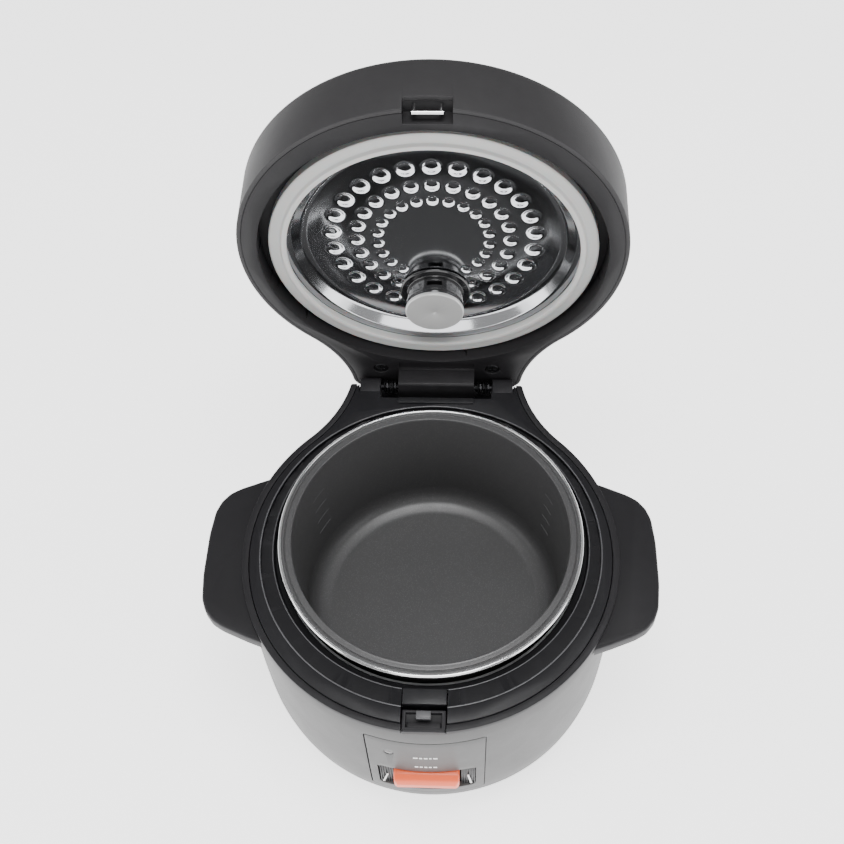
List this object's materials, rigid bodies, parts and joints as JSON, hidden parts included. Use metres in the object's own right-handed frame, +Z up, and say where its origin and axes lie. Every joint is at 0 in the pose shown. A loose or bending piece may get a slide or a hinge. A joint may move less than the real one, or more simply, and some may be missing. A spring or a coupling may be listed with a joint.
{
  "type": "rice cooker",
  "caption": "Small round rice cooker with side handles, hinged drum lid standing open, lift-out non-stick pot, polished lid plate with steam cap, and an orange cook lever.",
  "frame": {"origin": "middle of the underside of the whole object's box with the lid open, at the height the feet stand on", "axes": "+Z up, front with the cook lever at -Y, hinge at +Y"},
  "size_m": [0.2368, 0.2532, 0.3346],
  "materials": {
    "satin_shell": "light grey moulded plastic with a fine metallic satin finish",
    "dark_shell": "dark grey fine matte moulded plastic",
    "black_plastic": "near-black semi-matte plastic",
    "steam_cap": "glossy black plastic cup with a satin grey face",
    "steel": "plain steel",
    "liner": "rolled aluminium",
    "cast_heater": "cast aluminium",
    "pot_coating": "dark grey non-stick coating, with a bare bright rim",
    "seal": "translucent grey silicone",
    "polished_plate": "mirror polished steel",
    "lever": "coral orange satin plastic",
    "foot_rubber": "black rubber",
    "ceramic": "unglazed ceramic",
    "lamp_lens": "tinted translucent lens",
    "foam_board": "rigid insulating foam board"
  },
  "bodies": {
    "base": {"outer_shell": "satin_shell", "handle_ring": "dark_shell", "pot_collar": "black_plastic", "chamber_liner": "liner", "control_panel": "satin_shell", "lever_pocket": "black_plastic", "indicator_lens": "lamp_lens", "base_plate": "black_plastic", "foot_1": "foot_rubber", "base_screw_1": "steel", "foot_2": "foot_rubber", "base_screw_2": "steel", "foot_3": "foot_rubber", "base_screw_3": "steel", "foot_4": "foot_rubber", "base_screw_4": "steel", "heating_plate": "cast_heater", "heater_terminal_1": "ceramic", "heater_terminal_2": "ceramic", "plate_post_1": "steel", "plate_post_2": "steel", "plate_post_3": "steel", "keep_warm_band": "liner", "thermostat_bracket": "steel", "thermostat_spring": "steel", "lever_pivot_pin": "steel", "lever_bracket_right": "steel", "lever_bracket_left": "steel", "micro_switch": "black_plastic", "power_inlet": "black_plastic", "inlet_pin_1": "steel", "inlet_pin_2": "steel", "terminal_block": "ceramic", "thermal_fuse": "ceramic", "latch_housing": "black_plastic", "latch_pin": "steel", "latch_spring": "steel", "hinge_pin": "steel", "hinge_leaf": "black_plastic", "hinge_spring_right": "steel", "hinge_spring_left": "steel"},
    "lid": {"lid_outer_shell": "dark_shell", "lid_flange": "black_plastic", "striker_bar": "steel", "lid_screw_1": "steel", "lid_screw_2": "steel", "lid_gasket": "seal", "lid_inner_plate": "polished_plate", "steam_tube": "black_plastic", "steam_vent_cover": "dark_shell", "lid_insulation": "foam_board"},
    "steam_cap": {"steam_cap": "steam_cap"},
    "pot": {"inner_pot": "pot_coating"},
    "lever": {"cook_lever": "lever", "lever_arm": "black_plastic"},
    "magnet": {"magnet_rod": "steel"},
    "switch_button": {"switch_button": "lever"},
    "thermostat": {"thermostat_can": "liner"},
    "latch": {"latch_button": "dark_shell"}
  },
  "joints": [
    {"name": "lid_hinge", "type": "hinge", "parent": "base", "child": "lid", "pos_m": [0, 0.08685, 0.1245], "axis": [-1, 0, 0], "range_deg": [-87, 0], "stiffness_Nm_per_rad": 0.12, "springref_deg": 20.05},
    {"name": "pot_lift", "type": "slide", "parent": "base", "child": "pot", "axis": [0, 0, 1], "range_m": [0, 0.12]},
    {"name": "steam_cap_pull", "type": "slide", "parent": "lid", "child": "steam_cap", "axis": [0, -0.9986, -0.0523], "range_m": [0, 0.02]},
    {"name": "cook_lever_press", "type": "hinge", "parent": "base", "child": "lever", "pos_m": [0, -0.05415, 0.03], "axis": [1, 0, 0], "range_deg": [0, 6.5], "stiffness_Nm_per_rad": 0.6, "springref_deg": -11.46},
    {"name": "magnet_rise", "type": "slide", "parent": "base", "child": "magnet", "axis": [0, 0, 1], "range_m": [0, 0.0045]},
    {"name": "switch_press", "type": "slide", "parent": "base", "child": "switch_button", "axis": [0, 0, 1], "range_m": [-0.0023, 0]},
    {"name": "thermostat_press", "type": "slide", "parent": "base", "child": "thermostat", "axis": [0, 0, 1], "range_m": [-0.0015, 0], "stiffness_N_per_m": 500, "springref_m": 0.004, "deforming": ["thermostat_spring"]},
    {"name": "latch_press", "type": "hinge", "parent": "base", "child": "latch", "pos_m": [0, -0.11375, 0.113], "axis": [-1, 0, 0], "range_deg": [0, 7], "stiffness_Nm_per_rad": 0.3, "springref_deg": -8.59, "deforming": ["latch_spring"]}
  ],
  "couplings": [
    {"joint": "magnet_rise", "follows": "cook_lever_press", "m_per_rad": 0.0396},
    {"joint": "switch_press", "follows": "cook_lever_press", "m_per_rad": -0.0195}
  ]
}
